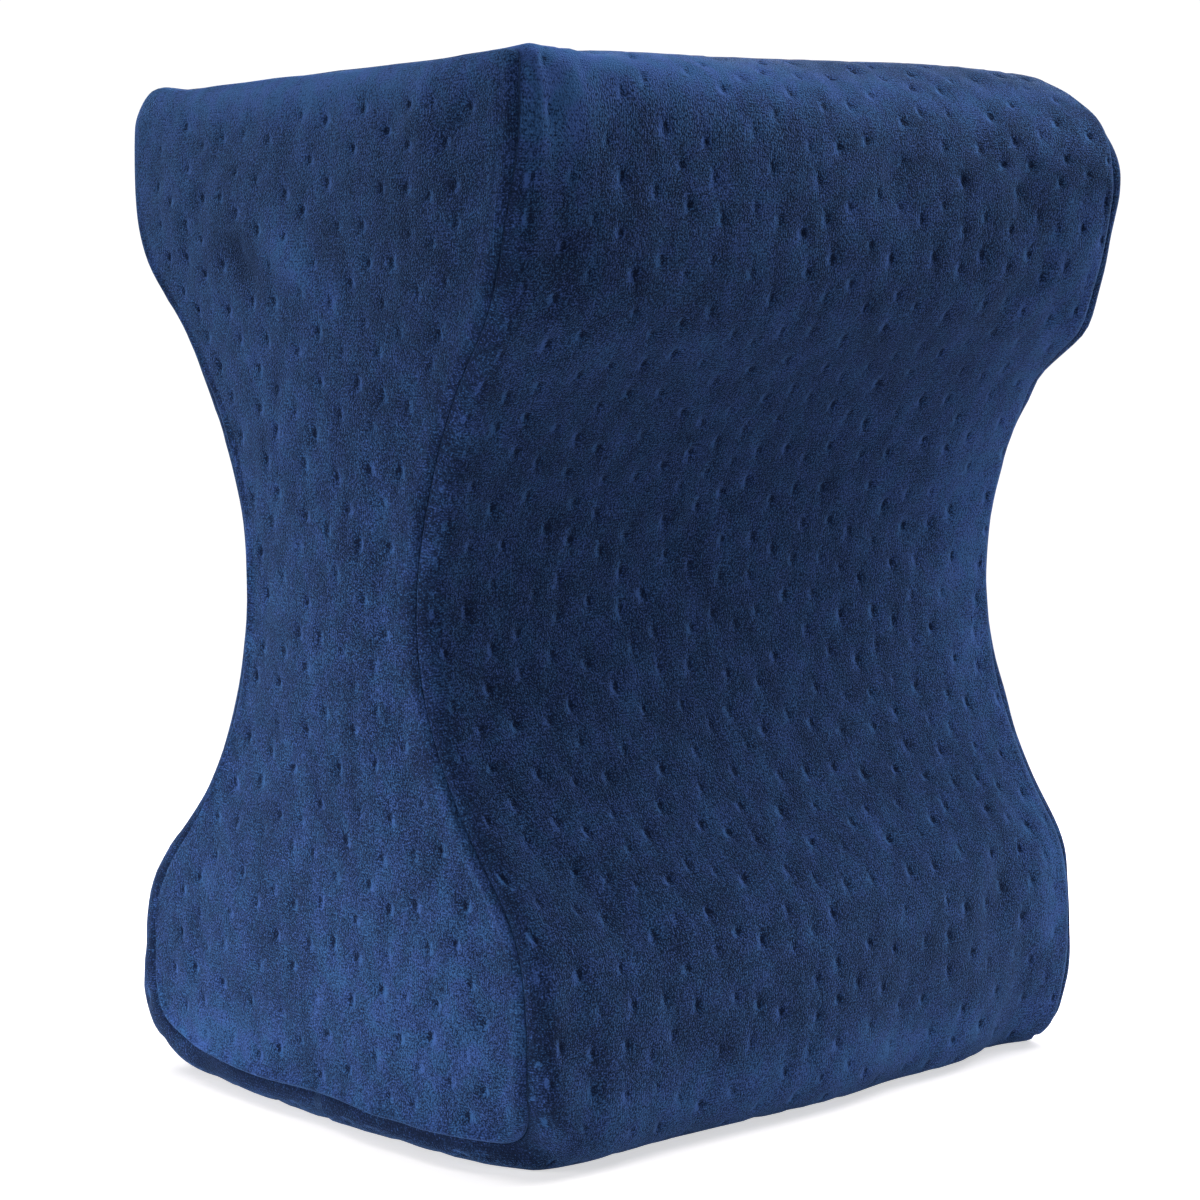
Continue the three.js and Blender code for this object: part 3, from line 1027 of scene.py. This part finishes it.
def pressDots(piece, material):
    tree = bpy.data.node_groups.new("pressedDots", "GeometryNodeTree")
    sheet = Sheet(tree)
    tree.interface.new_socket("Cloth", in_out="INPUT", socket_type="NodeSocketGeometry")
    depthSocket, rimSocket, hollowSocket = (
        tree.interface.new_socket(name, in_out="INPUT", socket_type="NodeSocketFloat")
        for name in ("Dot Depth", "Dot Rim", "Hollow"))
    tree.interface.new_socket("Cloth", in_out="OUTPUT", socket_type="NodeSocketGeometry")
    given = sheet.add("NodeGroupInput")
    reach = sheet.add("GeometryNodeInputNamedAttribute", {"data_type": "FLOAT_VECTOR"}, {"Name": "dot"})
    apart = sheet.add("ShaderNodeSeparateXYZ", {}, {0: reach})
    wide, long, strength = apart, apart.also("Y"), apart.also("Z")
    wide, long = wide.maths("ABSOLUTE", wide, 0), wide.maths("ABSOLUTE", long, 0)
    power = press["squareness"]
    out = wide.maths("POWER", wide, power) + long.maths("POWER", long, power)
    out = out.maths("POWER", out, 1 / power)
    pit = sheet.smooth(out, 1.0 - given.also("Dot Rim"), 1.0 + given.also("Dot Rim"), 1.0, 0.0)
    hollow = sheet.smooth(out, 0.0, press["hollowReach"], 1.0, 0.0)
    pressed = (pit + hollow * given.also("Hollow")) * strength
    normal = sheet.add("GeometryNodeInputNormal")
    down = sheet.add("ShaderNodeVectorMath", {"operation": "SCALE"},
                     {0: normal, "Scale": given.also("Dot Depth") * pressed * -1.0})
    moved = sheet.add("GeometryNodeSetPosition", {}, {"Geometry": given, "Offset": down})
    whole = sheet.add("GeometryNodeRealizeInstances", {}, {"Geometry": moved})
    dressed = sheet.add("GeometryNodeSetMaterial", {}, {"Geometry": whole, "Material": material})
    sheet.finishWith("NodeGroupOutput", 0, dressed)
    modifier = piece.modifiers.new("pressedDots", "NODES")
    modifier.node_group = tree
    modifier[depthSocket.identifier] = press["depth"] * mm
    modifier[rimSocket.identifier] = press["rim"]
    modifier[hollowSocket.identifier] = press["hollow"]
    settled(piece)


# Short-piled velour: grain of the pile, fine ribs of the knit behind it, and painted light and shade in
# patches, with painted glints, and painted shade and highlights at the dots, the tufts and the seams. Sizes
# are in millimetres. Every effect adds its tone, and the tone goes from the pile's depth to its lit tips.
velour = {
    "deep": (0.0060, 0.0150, 0.050, 1),
    "tealTint": (0.0570, 0.1735, 0.458, 1),
    "violetTint": (0.0710, 0.1600, 0.502, 1),
    "roughness": 0.9,
    "specular": 0.15,
    "sheenTint": (0.22, 0.45, 1.0, 1),
    "sheenWeight": 0.6,
    "sheenRoughness": 0.33,
    "noises": {                          # size, detail and roughness
        "grain": (0.47, 1.0, 0.7),
        "clump": (1.1, 1.0, 0.5),
        "patch": (11.0, 3.0, 0.6),
        # painted glints: sparse bright specks of pile tips catching the light
        "paintedGlint": (0.42, 0.0, 0.5),
        "tint": (6.0, 1.0, 0.5),
        "knit": (28.0, 1.0, 0.5),        # where the ribs run across, and where along
    },
    "paintedGlintRange": (0.68, 0.80),
    "tintRange": (0.35, 0.65),
    "knitRange": (0.42, 0.58),
    "streakSize": (4.5, 12.0),
    "ribPitch": 0.66,
    "tuftHighlightSize": 0.65,
    "paintedDotShadeAt": (0.35, 0.1, 0.64),      # a dot's painted shade and painted highlight, in its half widths: across, along, reach
    "litAt": (-0.85, -0.2, 0.95),
    "dotSquash": 0.9,
    "paintedSeamShadeReach": (0.6, 4.5),           # painted shade from the seam: all the way this near and not at all this far off
    "combedReach": (2.5, 9.0),
    "grainHeight": 0.55,
    "ribHeight": 0.02,
    "combedHeight": 0.7,                 # the share of the grain's height lost where it is combed flat
    "tones": {"grain": 3.6, "combed": 1.2, "clump": 1.1, "patch": 1.05, "streak": 0.7, "ribs": 0.12,
              "paintedGlint": 0.9, "all": 0.38, "pressed": 0.75, "lit": 1.0, "tuftHighlight": 0.8},
    "toneRange": (-0.4, 1.9),
    "tonePower": 1.5,
}


# The knit's fine ribs, which run one way in some patches and the other way in others.
def ribsOf(sheet, apart, knit):
    turn = 2 * math.pi / velour["ribPitch"]
    upright, level = (way.maths("SINE", way * turn, 0) for way in (apart, apart.also("Y")))
    choice = sheet.smooth(knit, *velour["knitRange"])
    return upright * choice + level * (1 - choice)


# The velour of a cut piece, from its cloth measure and the values at its points.
def velourMaterial(name, cut):
    material = bpy.data.materials.new(name)
    material.use_nodes = True
    sheet, tones = Sheet(material.node_tree), velour["tones"]
    cloth = sheet.add("ShaderNodeUVMap", {"uv_map": "cloth"})
    flat = sheet.add("ShaderNodeVectorMath", {"operation": "SCALE"}, {0: cloth, "Scale": 1 / mm})
    apart = sheet.add("ShaderNodeSeparateXYZ", {}, {0: flat})
    noises = {key: sheet.noise(flat, *values) for key, values in velour["noises"].items()}
    grain, clump, patch = (noises[key] - 0.5 for key in ("grain", "clump", "patch"))
    wide, long = velour["streakSize"]
    brushed = sheet.add("ShaderNodeVectorMath", {"operation": "MULTIPLY"},
                        {0: flat, 1: (1 / wide, 1 / long, 1)})
    streak = sheet.noise(brushed, 1.0) - 0.5
    ribs = ribsOf(sheet, apart, noises["knit"])
    dot = sheet.add("ShaderNodeAttribute", {"attribute_name": "dot"}, out=1)
    dotAcross = sheet.add("ShaderNodeSeparateXYZ", {}, {0: dot})
    dotAlong = dotAcross.also("Y") * velour["dotSquash"]
    shade, paintedLightAndShade, fromSeam = (sheet.add("ShaderNodeAttribute", {"attribute_name": key}, out=2)
                            for key in ("dotShade", "paintedLightAndShade", "fromSeam"))
    # each dot's painted shade (pressed) in the pit and painted highlight (lit) beside it
    pressed, lit = (sheet.near(dotAcross, dotAlong, *velour[key]) * shade for key in ("paintedDotShadeAt", "litAt"))
    paintedSeamShade, combed = (sheet.smooth(fromSeam, *velour[key], 1.0, 0.0)
                      for key in ("paintedSeamShadeReach", "combedReach"))
    paintedGlint = sheet.smooth(noises["paintedGlint"], *velour["paintedGlintRange"])
    # the tone: the pile's own grain, clumps, patches, streaks and ribs, with painted light and shade in
    # patches, painted glints, each dot's painted shade and highlight, and painted shade beside the seam
    tone = (grain * (tones["grain"] - combed * tones["combed"]) + clump * tones["clump"]
            + patch * tones["patch"] + streak * tones["streak"] + ribs * tones["ribs"] + paintedLightAndShade
            + paintedGlint * tones["paintedGlint"] + (tones["all"] + cut["lift"]) - pressed * tones["pressed"]
            + lit * tones["lit"] + paintedSeamShade * cut["atSeam"])
    # small painted highlights at the tufts
    for across, along in cut["tuftHighlights"]:
        tone = tone + sheet.near(apart, apart.also("Y"), across, along, velour["tuftHighlightSize"]) * tones["tuftHighlight"]
    share = sheet.smooth(tone, *velour["toneRange"])
    tint = sheet.smooth(noises["tint"], *velour["tintRange"])
    full = sheet.mixColour(tint, velour["tealTint"], velour["violetTint"])
    colour = sheet.mixColour(share.maths("POWER", share, velour["tonePower"]), velour["deep"], full)
    pile = grain * (1 - combed * velour["combedHeight"]) * velour["grainHeight"]
    height = pile + ribs * velour["ribHeight"]
    bump = sheet.add("ShaderNodeBump", {}, {"Strength": 1.0, "Distance": mm, "Height": height})
    shader = sheet.add("ShaderNodeBsdfPrincipled", {}, {
        "Base Color": colour, "Roughness": velour["roughness"], "Specular IOR Level": velour["specular"],
        "Normal": bump, "Sheen Weight": velour["sheenWeight"], "Sheen Roughness": velour["sheenRoughness"],
        "Sheen Tint": velour["sheenTint"]})
    sheet.finishWith("ShaderNodeOutputMaterial", "Surface", shader)
    return material


bandVelour = velourMaterial("bandVelour", band)
panelVelour = velourMaterial("panelVelour", panel)
for piece, node, material, slotName in (
        (velourBand, "filled_boxing_band", bandVelour, "velour_band"),
        (leftPanel, "side_panel_left", panelVelour, "velour_panel"),
        (rightPanel, "side_panel_right", panelVelour, "velour_panel")):
    pressDots(piece, material)
    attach(piece, "root")
    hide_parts(node)
print("pillow: dots pressed and velour laid")

# A plain pale floor that fades into the white backdrop, and soft lights all round but for the near side.
studio = {
    "floorHalf": 1.2,
    "floorFades": (0.30, 0.80),
    "floorColour": (0.84, 0.80, 0.80, 1),
    "floorSeen": 0.62,           # what the floor adds to its own light and shade where it is seen
    "floorGlow": 0.23,           # what it throws back up on the pillow
    "glowFades": (0.15, 0.25),
    "backdrop": 1.05,
    # around is from the camera's side, then the height, distance, size and power of each light
    "lights": {
        "nearLeftLow": (-55, 0.03, 0.28, 0.16, 0.35),
        "front": (0, 0.70, 0.70, 0.4, 0.827),
        "right": (110, 0.60, 0.55, 0.4, 2.76),
        "behind": (170, 0.34, 0.42, 0.3, 2.44),
        "leftBehind": (-120, 0.60, 0.55, 0.4, 1.06),
        "overhead": (0, 1.42, 0.02, 1.1, 9.54),
    },
}


def makeStudio():
    half = studio["floorHalf"]
    corners = [(-half, -half, 0), (half, -half, 0), (half, half, 0), (-half, half, 0)]
    mesh = bpy.data.meshes.new("floor")
    mesh.from_pydata(corners, [], [[0, 1, 2, 3]])
    floor = bpy.data.objects.new("floor", mesh)
    bpy.context.scene.collection.objects.link(floor)
    material = bpy.data.materials.new("paleFloor")
    material.use_nodes = True
    sheet = Sheet(material.node_tree)
    place = sheet.add("ShaderNodeTexCoord", out=3)
    away = sheet.add("ShaderNodeVectorMath", {"operation": "LENGTH"}, {0: place}, out=1)
    seen = sheet.add("ShaderNodeLightPath")
    glow = sheet.smooth(away, *studio["glowFades"], studio["floorGlow"], 0.0)
    strength = seen * studio["floorSeen"] + (1 - seen) * glow
    shader = sheet.add("ShaderNodeBsdfPrincipled", {}, {
        "Base Color": studio["floorColour"], "Roughness": 0.9, "Specular IOR Level": 0.0,
        "Emission Color": (1, 1, 1, 1), "Emission Strength": strength})
    clear = sheet.add("ShaderNodeBsdfTransparent")
    faded = sheet.smooth(away, *studio["floorFades"])
    mixed = sheet.add("ShaderNodeMixShader", {}, {0: faded, 1: shader, 2: clear})
    sheet.finishWith("ShaderNodeOutputMaterial", "Surface", mixed)
    mesh.materials.append(material)
    middle = Vector((0, 0, halfHeight * mm))
    for name, (around, height, distance, size, power) in studio["lights"].items():
        turn = math.radians(view["aroundDegrees"] + around)
        light = bpy.data.lights.new(name, "AREA")
        light.shape, light.size, light.energy = "DISK", size, power
        lamp = bpy.data.objects.new(name, light)
        lamp.location = (math.sin(turn) * distance, -math.cos(turn) * distance, height)
        lamp.rotation_euler = (lamp.location - middle).to_track_quat("Z", "Y").to_euler()
        lamp.visible_camera = False
        bpy.context.scene.collection.objects.link(lamp)
    world = bpy.data.worlds.new("studio")
    world.use_nodes = True
    bpy.context.scene.world = world
    sheet = Sheet(world.node_tree)
    backdrop = sheet.add("ShaderNodeBackground", {}, {
        "Color": (1, 1, 1, 1), "Strength": sheet.add("ShaderNodeLightPath") * studio["backdrop"]})
    sheet.finishWith("ShaderNodeOutputWorld", "Surface", backdrop)
    bpy.context.scene.view_settings.view_transform = "Standard"


makeStudio()
print("pillow: studio set")
